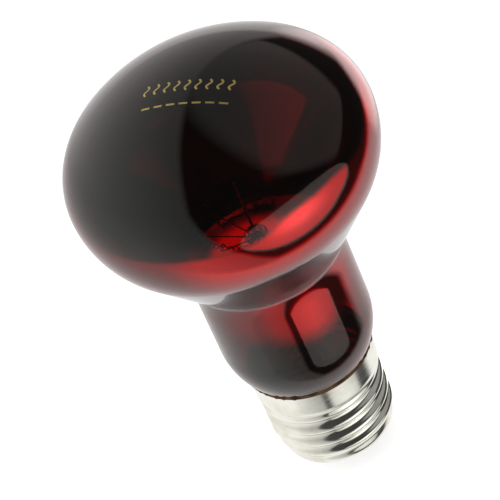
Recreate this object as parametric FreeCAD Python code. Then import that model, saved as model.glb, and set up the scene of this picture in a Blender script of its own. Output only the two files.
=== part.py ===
# Red infrared reflector lamp: a blown glass bulb with a mirrored back on a round screw cap.
# Millimetres. The origin is the tip of the centre contact and +Z runs up the axis to the dome.
import FreeCAD, Part
import math
import os

Vector = FreeCAD.Vector
AXIS = Vector(0, 0, 1)
ORIGIN = Vector(0, 0, 0)

# Glass bulb
head_diameter = 63.0
neck_diameter = 32.4
seat_diameter = 24.8
glass_wall = 0.8
seat_length = 4.2
waist_rise = 29.0
widest_rise = 56.5
dome_rise = 20.1
corner_radius = 13.0
waist_radius = 3.0
neck_flare_radius_share = 1.75
foot_radius_share = 0.42
root_radius_share = 0.84
neck_flare_angle = 7.5
cone_angle = 36.0
shoulder_angle = 29.5
foot_angle = 75.0
foot_clearance = 0.22

# Mirror film
coating_gap = 0.06
coating_thickness = 0.12
coating_neck_length = 6.5
coating_edge_angle = 10.5

# Screw cap
cap_height = 26.0
shell_wall = 0.3
skirt_diameter = 26.7
skirt_height = 4.6
thread_major_diameter = 26.3
thread_depth = 1.05
thread_pitch = 3.629
thread_bottom = 6.0
thread_fade = 1.9
step_angle = 40.0
lip_radius = 2.6
lip_angle = 70.0
thread_start_angle = 200.0
skirt_rows = 6
step_rows = 4
rows_per_pitch = 16
lip_rows = 9
thread_columns = 48
difference_share = 0.001

# Insulator and centre contact
contact_diameter = 10.0
contact_thickness = 0.6
contact_round = 0.2
solder_height = 1.1
solder_diameter = 6.8
solder_flat_diameter = 3.6
solder_bulge = 0.3
eyelet_diameter = 1.2
insulator_bore_diameter = 2.4
insulator_top = 8.2
insulator_floor = 4.6
insulator_margin = 0.3
insulator_well_diameter = 7.0
insulator_clearance = 0.06

# Cement and rim solder
cement_depth = 3.6
cement_clearance = 0.03
cement_bead_turn = 15.0
cement_rim_margin = 0.1
cement_bulge = 0.08
rim_solder_radius = 1.25
rim_solder_gap = 0.05

# Stem
flare_rim_diameter = 22.8
flare_radius = 5.0
stem_diameter = 10.8
stem_wall = 0.9
stem_top = 42.5
press_bottom = 45.5
press_top = 54.0
press_width = 13.0
press_depth = 4.0
press_corner = 1.4
exhaust_diameter = 3.8
exhaust_bore = 2.2
exhaust_tip = 13.5
exhaust_tip_length = 3.2
exhaust_tip_wall = 1.4
exhaust_tip_bulge = 0.5
exhaust_entry = 0.6
rod_diameter = 2.4
rod_length = 4.2
button_diameter = 5.0
button_height = 3.0

# Wires
seal_diameter = 0.45
inner_lead_diameter = 0.6
outer_lead_diameter = 0.4
fuse_diameter = 0.18
support_diameter = 0.28
lead_offset = 3.15
lead_rise = 3.0
lead_bend = 2.4
seal_bottom_margin = 1.2
seal_top_margin = 1.6
support_entry = 1.3
hook_clearance = 0.07
lead_hook_angle = 235.0
support_hook_angle = 250.0
lead_corner = 0.45
side_lead_gap = 0.3
side_lead_drop = 1.5
rim_wall_gap = 0.03
fuse_top = 16.0
fuse_bend_top = 12.0
fuse_bend_bottom = 8.5
fuse_bend = 1.0
mount_angle = 90.0

# Filament
filament_height = 66.0
filament_arc_radius = 10.0
filament_wire_diameter = 0.2
filament_coil_diameter = 1.0
filament_turns = 24
filament_leg_angle = 11.0
filament_end_angle = 4.0
filament_taper_turns = 2.0
arcs_per_turn = 4
coil_probes = 24
support_angles = [45.0, 90.0, 135.0]

# Reach past a face where one solid is taken from another
overrun = 0.5

head_radius = head_diameter / 2
neck_radius = neck_diameter / 2
seat_radius = seat_diameter / 2
skirt_radius = skirt_diameter / 2
thread_major_radius = thread_major_diameter / 2
thread_minor_radius = thread_major_radius - thread_depth
skirt_inner_radius = skirt_radius - shell_wall
shoulder_drop = neck_radius - seat_radius
foot_radius = shoulder_drop * foot_radius_share
neck_flare_radius = neck_radius * neck_flare_radius_share
root_radius = (skirt_radius - seat_radius) * root_radius_share


def cosine(angle):
    return math.cos(math.radians(angle))


def sine(angle):
    return math.sin(math.radians(angle))


# The glass foot starts just above the wire that crosses the rim
lead_groove_radius = (seat_radius + skirt_inner_radius) / 2
lead_outside_radius = skirt_radius + outer_lead_diameter / 2 + rim_wall_gap
lead_crest = cap_height + rim_wall_gap
lead_bend_radius = (lead_outside_radius - lead_groove_radius) / 2
foot_height = lead_crest + lead_bend_radius + outer_lead_diameter / 2 + foot_clearance
seat_top = foot_height - root_radius * sine(foot_angle)
seat_bottom = seat_top - seat_length


def neck_flare_start():
    """Height where the straight neck starts to open towards the waist."""
    return cap_height + waist_rise - neck_flare_radius * sine(neck_flare_angle)


def bulb_steps():
    """Tangent runs of the bulb's outline from the neck's open end up to the crown on the axis.

    A step is (length, 0) for a straight run or (radius, turn) for an arc, and a positive turn leads
    away from the axis.
    """
    foot_spread = foot_radius * (cosine(shoulder_angle) - cosine(foot_angle))
    root_spread = root_radius * (1 - cosine(foot_angle))
    shoulder_radius = (shoulder_drop - foot_spread - root_spread) / (1 - cosine(shoulder_angle))
    foot_rise = foot_radius * (sine(foot_angle) - sine(shoulder_angle))
    shoulder_rise = shoulder_radius * sine(shoulder_angle)
    neck_length = neck_flare_start() - foot_height - foot_rise - shoulder_rise
    flare_spread = neck_flare_radius * (1 - cosine(neck_flare_angle))
    waist_spread = waist_radius * (cosine(neck_flare_angle) - cosine(cone_angle))
    waist_climb = waist_radius * (sine(cone_angle) - sine(neck_flare_angle))
    spread = head_radius - neck_radius - flare_spread - waist_spread
    climb = widest_rise - waist_rise - waist_climb
    slack = 1 - cosine(cone_angle)
    back_radius = (climb * sine(cone_angle) - spread * cosine(cone_angle)) / slack
    cone_length = (spread * sine(cone_angle) - climb * slack) / slack
    inward = head_radius - corner_radius
    crown_radius = (inward ** 2 + dome_rise ** 2 - corner_radius ** 2) / (2 * (dome_rise - corner_radius))
    corner_turn = 90 - math.degrees(math.asin(inward / (crown_radius - corner_radius)))
    return {
        "seat": (seat_length, 0),
        "root": (root_radius, foot_angle),
        "foot": (foot_radius, shoulder_angle - foot_angle),
        "shoulder": (shoulder_radius, -shoulder_angle),
        "neck": (neck_length, 0),
        "flare": (neck_flare_radius, neck_flare_angle),
        "waist": (waist_radius, cone_angle - neck_flare_angle),
        "cone": (cone_length, 0),
        "back": (back_radius, -cone_angle),
        "corner": (corner_radius, -corner_turn),
        "crown": (crown_radius, corner_turn - 90),
    }


def point(radius, height):
    return Vector(radius, 0, height)


def trace(radius, height, heading, steps, inset=0.0):
    """Edges of tangent lines and arcs in the radius and height plane, moved inwards by inset.

    The heading is the angle from the upward axis towards larger radii.
    """
    radius = radius - inset * cosine(heading)
    height = height + inset * sine(heading)
    edges = []
    for size, turn in steps:
        start = point(radius, height)
        if turn == 0:
            radius = radius + size * sine(heading)
            height = height + size * cosine(heading)
            edges.append(Part.makeLine(start, point(radius, height)))
            continue
        side = math.copysign(1, turn)
        bend = size + side * inset
        centre_radius = radius + side * bend * cosine(heading)
        centre_height = height - side * bend * sine(heading)
        places = []
        for angle in [heading + turn / 2, heading + turn]:
            radius = centre_radius - side * bend * cosine(angle)
            height = centre_height + side * bend * sine(angle)
            places.append(point(radius, height))
        heading = heading + turn
        edges.append(Part.Arc(start, *places).toShape())
    return edges


def chain_start(edges):
    return edges[0].valueAt(edges[0].FirstParameter)


def chain_end(edges):
    return edges[-1].valueAt(edges[-1].LastParameter)


def revolved(edges):
    return Part.Face(Part.Wire(edges)).revolve(ORIGIN, AXIS, 360)


def wall_between(outer, inner):
    """Ring solid between two chains of edges that run the same way."""
    far = lines([chain_end(outer), chain_end(inner)])
    near = lines([chain_start(inner), chain_start(outer)])
    return revolved(outer + far + inner[::-1] + near)


def lines(corners):
    return [Part.makeLine(first, second) for first, second in zip(corners, corners[1:])]


def bulged(first, second, bulge):
    """Arc from one profile point to another that stands off their chord by bulge, to its right."""
    chord = second - first
    side = Vector(chord.z, 0, -chord.x).normalize()
    return Part.Arc(first, (first + second) * 0.5 + side * bulge, second).toShape()


def cylinder(radius, bottom, top):
    return Part.makeCylinder(radius, top - bottom, Vector(0, 0, bottom))


def make_envelope(steps):
    runs = list(steps.values())
    outer = trace(seat_radius, seat_bottom, 0, runs)
    inner = trace(seat_radius, seat_bottom, 0, runs, glass_wall)
    return wall_between(outer, inner)


def make_coating(steps):
    """Film that lines the upper neck, the cone and the back up to just past the widest level."""
    bottom = neck_flare_start() - coating_neck_length
    runs = [(coating_neck_length, 0), steps["flare"], steps["waist"], steps["cone"], steps["back"]]
    runs.append((corner_radius, -coating_edge_angle))
    depth = glass_wall + coating_gap
    outer = trace(neck_radius, bottom, 0, runs, depth)
    inner = trace(neck_radius, bottom, 0, runs, depth + coating_thickness)
    return wall_between(outer, inner)


def make_cement(steps, wire):
    bead = (foot_radius, -cement_bead_turn)
    runs = [(seat_top - cap_height + cement_depth, 0), steps["root"], bead]
    inner = trace(seat_radius, cap_height - cement_depth, 0, runs, -cement_clearance)
    rim = point(skirt_radius - cement_rim_margin, cap_height + cement_clearance)
    inside = point(skirt_inner_radius - cement_clearance, cap_height + cement_clearance)
    base = point(skirt_inner_radius - cement_clearance, cap_height - cement_depth)
    crown = bulged(chain_end(inner), rim, -cement_bulge)
    return revolved(inner + [crown] + lines([rim, inside, base, chain_start(inner)])).cut(wire)


def smooth_step(value):
    held = min(max(value, 0.0), 1.0)
    return held * held * (3 - 2 * held)


def thread_wave(phase):
    """Depth below the crest, as a share, of a round thread made of equal tangent arcs."""
    arc = (thread_pitch ** 2 + 4 * thread_depth ** 2) / (16 * thread_depth)
    away = (phase - math.floor(phase + 0.5)) * thread_pitch
    if abs(away) < thread_pitch / 4:
        return (arc - math.sqrt(arc ** 2 - away ** 2)) / thread_depth
    away = thread_pitch / 2 - abs(away)
    return 1 - (arc - math.sqrt(arc ** 2 - away ** 2)) / thread_depth


def step_drop():
    return skirt_radius - thread_major_radius


def step_bend():
    return step_drop() / (2 * (1 - cosine(step_angle)))


def thread_top():
    return cap_height - skirt_height - 2 * step_bend() * sine(step_angle)


def shell_rows():
    """Rows of the shell from its lip to its rim: radius, height and share of the thread depth."""
    rows = []
    for index in range(lip_rows):
        angle = lip_angle * (1 - index / lip_rows)
        radius = thread_minor_radius - lip_radius * (1 - cosine(angle))
        rows.append((radius, thread_bottom - lip_radius * sine(angle), 0.0))
    length = thread_top() - thread_bottom
    count = round(rows_per_pitch * length / thread_pitch)
    for index in range(count):
        along = length * index / count
        opened = smooth_step(along / thread_pitch)
        faded = smooth_step((length - along) / thread_fade)
        rows.append((thread_minor_radius + thread_depth * opened, thread_bottom + along, opened * faded))
    for index in range(2 * step_rows):
        angle = step_angle * (1 - abs(1 - index / step_rows))
        rise = step_bend() * sine(angle)
        outward = step_bend() * (1 - cosine(angle))
        if index > step_rows:
            rise = 2 * step_bend() * sine(step_angle) - rise
            outward = step_drop() - outward
        rows.append((thread_major_radius + outward, thread_top() + rise, 0.0))
    for index in range(skirt_rows + 1):
        rows.append((skirt_radius, cap_height - skirt_height * (1 - index / skirt_rows), 0.0))
    return rows


def shell_point(row, turn):
    """Point of the shell's outer face on a row, after a share of a turn about the axis."""
    radius, height, share = row
    phase = height / thread_pitch - turn - thread_start_angle / 360
    radius = radius - thread_depth * share * thread_wave(phase)
    angle = math.tau * turn
    return Vector(radius * math.cos(angle), radius * math.sin(angle), height)


def shell_grid(inset):
    """Grid of points on the shell's face, each moved inwards by inset along the face's normal."""
    rows = shell_rows()
    grid = []
    for column in range(thread_columns):
        turn = column / thread_columns
        line = [shell_point(row, turn) for row in rows]
        ahead = [shell_point(row, turn + difference_share) for row in rows]
        moved = []
        for index, place in enumerate(line):
            above = line[min(index + 1, len(rows) - 1)]
            below = line[max(index - 1, 0)]
            normal = (ahead[index] - place).cross(above - below).normalize()
            moved.append(place - normal * inset)
        grid.append(moved)
    return grid


def shell_face(inset):
    """Cubic spline face with the grid as its poles, closed round the axis.

    Such a face lies inside a ring of poles by a known share, so the ring is widened by that share.
    """
    widen = 3 / (2 + math.cos(math.tau / thread_columns))
    poles = [[Vector(p.x * widen, p.y * widen, p.z) for p in line] for line in shell_grid(inset)]
    rows = len(poles[0])
    round_knots = list(range(thread_columns + 1))
    round_mults = [1] * (thread_columns + 1)
    row_knots = list(range(rows - 2))
    row_mults = [4] + [1] * (rows - 4) + [4]
    surface = Part.BSplineSurface()
    knots = [round_mults, row_mults, round_knots, row_knots]
    surface.buildFromPolesMultsKnots(poles, *knots, True, False, 3, 3)
    return surface.toShape()


def end_edges(face):
    """The face's closed edges, the lower one first."""
    closed = [edge for edge in face.Edges if edge.isClosed()]
    return sorted(closed, key=lambda edge: edge.BoundBox.Center.z)


def make_shell():
    outer = shell_face(0.0)
    inner = shell_face(shell_wall)
    pairs = zip(end_edges(outer), end_edges(inner))
    skin = Part.Shell([outer, inner] + [Part.makeRuledSurface(first, second) for first, second in pairs])
    skin.sewShape()
    solid = Part.Solid(skin)
    if solid.Volume < 0:
        solid.reverse()
    return solid


def make_insulator():
    """Black glass that fills the lip of the shell and slopes down to the contact plate."""
    inset = shell_wall + insulator_clearance
    lip_start = thread_minor_radius - lip_radius * (1 - cosine(lip_angle))
    lip_height = thread_bottom - lip_radius * sine(lip_angle)
    runs = [(lip_radius, -lip_angle), (insulator_top - thread_bottom, 0)]
    side = trace(lip_start, lip_height, lip_angle, runs, inset)
    plate_top = solder_height + contact_thickness
    bore = insulator_bore_diameter / 2
    top = chain_end(side)
    low = chain_start(side)
    corners = [
        top,
        point(top.x - insulator_margin, insulator_top),
        point(insulator_well_diameter / 2, insulator_floor),
        point(bore, insulator_floor),
        point(bore, plate_top),
        point(contact_diameter / 2 + insulator_margin, plate_top),
        low,
    ]
    return revolved(side + lines(corners))


def make_contact_plate():
    radius = contact_diameter / 2
    top = solder_height + contact_thickness
    blank = cylinder(radius, solder_height, top)
    lower = [edge for edge in blank.Edges if edge.BoundBox.ZMax < solder_height + contact_round]
    rounded = blank.makeFillet(contact_round, lower)
    return rounded.cut(cylinder(eyelet_diameter / 2, solder_height - overrun, top + overrun))


def make_contact_solder():
    flat = point(solder_flat_diameter / 2, 0)
    rim = point(solder_diameter / 2, solder_height)
    top = point(0, solder_height)
    return revolved([bulged(flat, rim, solder_bulge)] + lines([rim, top, ORIGIN, flat]))


def make_rim_solder(taken):
    """Drop of solder over the end of the side lead, on the skirt just under the glass foot."""
    angle = mount_angle
    distance = skirt_radius + outer_lead_diameter / 2
    height = foot_height - rim_solder_gap - rim_solder_radius
    centre = Vector(distance * cosine(angle), distance * sine(angle), height)
    drop = Part.makeSphere(rim_solder_radius, centre)
    skirt = cylinder(skirt_radius, cap_height - skirt_height, foot_height)
    return drop.cut([skirt] + taken)


def slab_edges():
    """Outline of the press at height zero: a rectangle with rounded corners, in eight edges."""
    reach = press_corner * (1 - math.sqrt(0.5))
    halves = [press_width / 2, press_depth / 2]
    edges = []
    for turn in range(4):
        along = halves[turn % 2]
        across = halves[1 - turn % 2]
        first = Vector(along, across - press_corner, 0)
        middle = Vector(along - reach, across - reach, 0)
        last = Vector(along - press_corner, across, 0)
        following = Vector(press_corner - along, across, 0)
        for edge in [Part.Arc(first, middle, last).toShape(), Part.makeLine(last, following)]:
            edges.append(edge.rotated(ORIGIN, AXIS, 90 * turn))
    return edges


def ring_edges(radius):
    """Circle at height zero, split in the directions of the press outline's corners."""
    places = [edge.valueAt(edge.FirstParameter) for edge in slab_edges()]
    angles = [math.degrees(math.atan2(place.y, place.x)) % 360 for place in places]
    edges = []
    for first, second in zip(angles, angles[1:] + [angles[0] + 360]):
        halfway = (first + second) / 2
        arc = [Vector(radius * cosine(a), radius * sine(a), 0) for a in [first, halfway, second]]
        edges.append(Part.Arc(*arc).toShape())
    return edges


def raised(edges, height):
    return Part.Wire([edge.translated(Vector(0, 0, height)) for edge in edges])


def make_stem(cuts):
    """Flared tube, drawn flat into the press that holds the seal wires."""
    outer_radius = stem_diameter / 2
    rim_radius = flare_rim_diameter / 2
    bend_height = seat_bottom + stem_wall
    runs = [(rim_radius - outer_radius - flare_radius, 0), (flare_radius, 90)]
    runs = runs + [(stem_top - bend_height - flare_radius, 0)]
    outer = trace(rim_radius, bend_height, -90, runs)
    inner = trace(rim_radius, bend_height, -90, runs, stem_wall)
    sections = [raised(ring_edges(outer_radius), stem_top), raised(slab_edges(), press_bottom)]
    taper = Part.makeLoft(sections, True, True)
    press = Part.Face(raised(slab_edges(), press_bottom)).extrude(AXIS * (press_top - press_bottom))
    body = wall_between(outer, inner).fuse([taper, press]).removeSplitter()
    return body.cut(cuts)


def make_exhaust():
    """Glass tube from the press down into the cap, drawn to a closed tip."""
    radius = exhaust_diameter / 2
    bore = exhaust_bore / 2
    top = stem_top + exhaust_entry
    tip_end = exhaust_tip + exhaust_tip_length
    tip = point(0, exhaust_tip)
    side = point(radius, tip_end)
    floor = point(0, exhaust_tip + exhaust_tip_wall)
    corners = [side, point(radius, top), point(bore, top), point(bore, tip_end), floor, tip]
    return revolved([bulged(tip, side, exhaust_tip_bulge)] + lines(corners))


def button_bottom():
    return press_top + rod_length


def make_rod(cuts):
    """Glass cane on the press with a button that holds the support wires."""
    radius = rod_diameter / 2
    low = button_bottom()
    high = low + button_height
    barrel = Part.Arc(point(radius, low), point(button_diameter / 2, (low + high) / 2), point(radius, high))
    corners = [point(radius, high), point(0, high), point(0, press_top), point(radius, press_top)]
    return revolved([barrel.toShape()] + lines(corners + [point(radius, low)])).cut(cuts)


def rounded_path(points, bend):
    """Straight runs through the points, with an arc of one radius at each corner between them."""
    edges = []
    start = points[0]
    for before, corner, after in zip(points, points[1:], points[2:]):
        back = (before - corner).normalize()
        onward = (after - corner).normalize()
        half = back.getAngle(onward) / 2
        reach = bend / math.tan(half)
        first = corner + back * reach
        last = corner + onward * reach
        middle = corner + (back + onward).normalize() * (bend / math.sin(half) - bend)
        edges.append(Part.makeLine(start, first))
        edges.append(Part.Arc(first, middle, last).toShape())
        start = last
    edges.append(Part.makeLine(start, points[-1]))
    return edges


def swept(edges, diameter):
    """Round wire along a chain of edges."""
    start = edges[0].valueAt(edges[0].FirstParameter)
    heading = edges[0].tangentAt(edges[0].FirstParameter)
    section = Part.Wire([Part.Circle(start, heading, diameter / 2).toShape()])
    return Part.Wire(edges).makePipeShell([section], True, False)


def hook(origin, radius, wrap):
    """Tangent point and arc of a hook that passes under the filament and turns up round it."""
    across = filament_arc_radius - origin.x
    upward = filament_height - origin.z
    distance = math.hypot(across, upward)
    heading = math.degrees(math.atan2(upward, across) - math.asin(radius / distance))
    places = []
    for turned in [0, wrap / 2, wrap]:
        angle = heading - 90 + turned
        outward = filament_arc_radius + radius * cosine(angle)
        places.append(point(outward, filament_height + radius * sine(angle)))
    return places[0], Part.Arc(*places).toShape()


def seal_bottom():
    return press_bottom + seal_bottom_margin


def seal_top():
    return press_top - seal_top_margin


def make_seal():
    length = seal_top() - seal_bottom()
    return Part.makeCylinder(seal_diameter / 2, length, point(lead_offset, seal_bottom()))


def make_inner_lead():
    """Steel wire from the press, bent outwards and hooked round the filament's straight leg."""
    radius = filament_wire_diameter / 2 + hook_clearance + inner_lead_diameter / 2
    corner = point(lead_offset, press_top + lead_rise)
    tangent, arc = hook(corner, radius, lead_hook_angle)
    path = rounded_path([point(lead_offset, seal_top()), corner, tangent], lead_bend)
    return swept(path + [arc], inner_lead_diameter)


def make_support():
    """Thin wire from the button with a hook round the coil."""
    radius = filament_coil_diameter / 2 + hook_clearance + support_diameter / 2
    origin = point(button_diameter / 2 - support_entry, button_bottom() + button_height / 2)
    tangent, arc = hook(origin, radius, support_hook_angle)
    return swept([Part.makeLine(origin, tangent), arc], support_diameter)


def make_side_lead():
    """Copper wire down through the flare, out under the glass, up through the cement and over the rim."""
    run_height = seat_bottom - outer_lead_diameter / 2 - side_lead_gap
    corners = [point(lead_offset, seal_bottom()), point(lead_offset, run_height)]
    corners = corners + [point(lead_groove_radius, run_height), point(lead_groove_radius, lead_crest)]
    top = point(lead_groove_radius + lead_bend_radius, lead_crest + lead_bend_radius)
    end = point(lead_outside_radius, lead_crest)
    arc = Part.Arc(corners[-1], top, end).toShape()
    down = Part.makeLine(end, point(lead_outside_radius, cap_height - side_lead_drop))
    return swept(rounded_path(corners, lead_corner) + [arc, down], outer_lead_diameter)


def make_centre_lead():
    length = seal_bottom() - fuse_top
    return Part.makeCylinder(outer_lead_diameter / 2, length, point(lead_offset, fuse_top))


def make_fuse():
    """Thin wire from the centre lead to the axis and down through the eyelet to the solder."""
    corners = [point(lead_offset, fuse_top), point(lead_offset, fuse_bend_top)]
    corners = corners + [point(0, fuse_bend_bottom), point(0, solder_height)]
    return swept(rounded_path(corners, fuse_bend), fuse_diameter)


def coil_place(turn):
    """Point on the coil after a number of turns. The coil opens out of its leg and closes again."""
    azimuth = filament_leg_angle + (180 - 2 * filament_leg_angle) * turn / filament_turns
    opened = smooth_step(turn / filament_taper_turns)
    closed = smooth_step((filament_turns - turn) / filament_taper_turns)
    radius = (filament_coil_diameter - filament_wire_diameter) / 2 * opened * closed
    outward = filament_arc_radius + radius * math.cos(math.tau * turn)
    height = filament_height + radius * math.sin(math.tau * turn)
    return Vector(outward * cosine(azimuth), outward * sine(azimuth), height)


def coil_heading(turn):
    return (coil_place(turn + difference_share) - coil_place(turn - difference_share)).normalize()


def arc_leaving(start, heading, end):
    """Arc that leaves the start along a heading and ends at a point."""
    chord = end - start
    bow = heading - chord * (heading.dot(chord) / chord.dot(chord))
    rise = chord.Length / 2 * math.tan(heading.getAngle(chord) / 2)
    return Part.Arc(start, start + chord * 0.5 + bow.normalize() * rise, end).toShape()


def biarc(start, first_heading, end, last_heading):
    """Two arcs that join two points tangent to the headings there and to each other."""
    chord = end - start
    both = first_heading + last_heading
    bend = 2 * (1 - first_heading.dot(last_heading))
    along = chord.dot(both)
    reach = (math.sqrt(along ** 2 + bend * chord.dot(chord)) - along) / bend
    joint = (start + end + (first_heading - last_heading) * reach) * 0.5
    onward = arc_leaving(end, last_heading * -1, joint)
    return [arc_leaving(start, first_heading, joint), onward]


def leg_arc(first, last):
    places = []
    for azimuth in [first, (first + last) / 2, last]:
        across = filament_arc_radius * cosine(azimuth)
        places.append(Vector(across, filament_arc_radius * sine(azimuth), filament_height))
    return Part.Arc(*places).toShape()


def coil_gap():
    """Least gap between neighbouring turns of the open coil, measured on points along it."""
    first = round(filament_taper_turns * coil_probes)
    last = filament_turns * coil_probes - first
    places = [coil_place(index / coil_probes) for index in range(first, last + 1)]
    gaps = []
    for index, place in enumerate(places):
        for other in places[index + coil_probes // 2:index + 2 * coil_probes]:
            gaps.append(place.distanceToPoint(other))
    return min(gaps) - filament_wire_diameter


def make_filament():
    """Coiled wire along an arc, with a straight leg through each lead's hook."""
    edges = [leg_arc(-filament_end_angle, filament_leg_angle)]
    for index in range(arcs_per_turn * filament_turns):
        first = index / arcs_per_turn
        last = (index + 1) / arcs_per_turn
        edges = edges + biarc(coil_place(first), coil_heading(first), coil_place(last), coil_heading(last))
    edges.append(leg_arc(180 - filament_leg_angle, 180 + filament_end_angle))
    return swept(edges, filament_wire_diameter)


def turned(shape, angle):
    return shape.rotated(ORIGIN, AXIS, angle)


def make_all():
    steps = bulb_steps()
    side = mount_angle
    far = mount_angle + 180
    parts = {}
    parts["press_seal_a"] = turned(make_seal(), side)
    parts["press_seal_b"] = turned(make_seal(), far)
    parts["inner_lead_a"] = turned(make_inner_lead(), side)
    parts["inner_lead_b"] = turned(make_inner_lead(), far)
    parts["outer_lead_side"] = turned(make_side_lead(), side)
    parts["outer_lead_centre"] = turned(make_centre_lead(), far)
    parts["fuse_wire"] = turned(make_fuse(), far)
    parts["exhaust_tube"] = make_exhaust()
    parts["stem_flare"] = make_stem(list(parts.values()))
    supports = [turned(make_support(), mount_angle + angle) for angle in support_angles]
    for index, support in enumerate(supports):
        parts["support_wire_" + str(index + 1)] = support
    parts["support_rod"] = make_rod(supports)
    parts["filament"] = turned(make_filament(), mount_angle)
    parts["glass_envelope"] = make_envelope(steps)
    parts["reflector_coating"] = make_coating(steps)
    parts["capping_cement"] = make_cement(steps, parts["outer_lead_side"])
    parts["screw_shell"] = make_shell()
    parts["cap_insulator"] = make_insulator()
    parts["contact_plate"] = make_contact_plate()
    parts["contact_solder"] = make_contact_solder()
    taken = [parts["capping_cement"], parts["glass_envelope"], parts["outer_lead_side"]]
    parts["rim_solder"] = make_rim_solder(taken)
    return parts


os.makedirs("parts", exist_ok=True)
for name, shape in make_all().items():
    shape.exportStep("parts/" + name + ".step")
    print(name, len(shape.Solids), shape.isValid(), round(shape.Volume, 3))
print("least gap between the filament's turns", round(coil_gap(), 3))
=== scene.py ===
import math

import bpy
import numpy as np
from bpy.props import FloatProperty, FloatVectorProperty, IntProperty, PointerProperty
from mathutils import Matrix, Vector


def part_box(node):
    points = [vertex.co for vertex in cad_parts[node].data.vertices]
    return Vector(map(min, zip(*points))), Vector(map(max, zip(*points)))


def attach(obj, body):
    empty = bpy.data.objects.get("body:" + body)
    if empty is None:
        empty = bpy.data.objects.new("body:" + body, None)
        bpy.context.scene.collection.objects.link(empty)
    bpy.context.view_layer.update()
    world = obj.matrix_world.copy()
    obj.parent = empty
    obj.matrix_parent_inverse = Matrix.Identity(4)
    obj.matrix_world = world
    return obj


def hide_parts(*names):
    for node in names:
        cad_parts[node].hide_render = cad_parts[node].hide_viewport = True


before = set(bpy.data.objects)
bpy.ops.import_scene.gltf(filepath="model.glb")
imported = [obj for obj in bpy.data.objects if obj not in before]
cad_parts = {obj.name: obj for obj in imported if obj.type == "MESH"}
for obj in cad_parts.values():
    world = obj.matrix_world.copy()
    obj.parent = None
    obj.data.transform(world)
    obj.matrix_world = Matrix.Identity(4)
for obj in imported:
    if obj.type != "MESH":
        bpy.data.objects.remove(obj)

# Red infrared reflector lamp: a blown ruby glass bulb with a mirrored back on a round screw cap.
# Metres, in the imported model's frame: the origin is the tip of the centre contact and +Z runs up the axis.
bl_info = {
    "name": "Infrared reflector lamp",
    "version": (1, 0, 0),
    "blender": (4, 5, 0),
    "location": "View3D > Sidebar > Infrared lamp",
    "description": "Builds a red reflector bulb with a screw cap around its packed model",
    "category": "Object",
}

MM = 0.001
TURN = math.tau
SHARP = math.radians(50)
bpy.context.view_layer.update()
GLASS_LOW, GLASS_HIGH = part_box("glass_envelope")
SHELL_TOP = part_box("screw_shell")[1].z


def linear(code):
    """Linear RGB of a colour written as six sRGB hex digits, by the curve of the sRGB standard."""
    share = np.array([int(code[place:place + 2], 16) for place in (1, 3, 5)]) / 255
    curve = ((share + 0.055) / 1.055) ** 2.4
    return tuple(np.where(share <= 0.04045, share / 12.92, curve).tolist())


def length(name, description, millimetres):
    """Setting that holds a length, given in millimetres."""
    return FloatProperty(
        name=name, description=description, default=millimetres * MM, unit="LENGTH", precision=5)


def angle(name, description, degrees):
    """Setting that holds an angle, given in degrees."""
    return FloatProperty(name=name, description=description, default=math.radians(degrees), unit="ROTATION")


def colour(name, description, code):
    """Setting that holds a colour, given as sRGB hex digits."""
    return FloatVectorProperty(
        name=name, description=description, default=linear(code), subtype="COLOR", size=3, min=0, max=1)


def number(name, description, value):
    """Setting that holds a share or a level of brightness."""
    return FloatProperty(
        name=name, description=description, default=value, subtype="FACTOR", min=0, soft_max=2)


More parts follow.
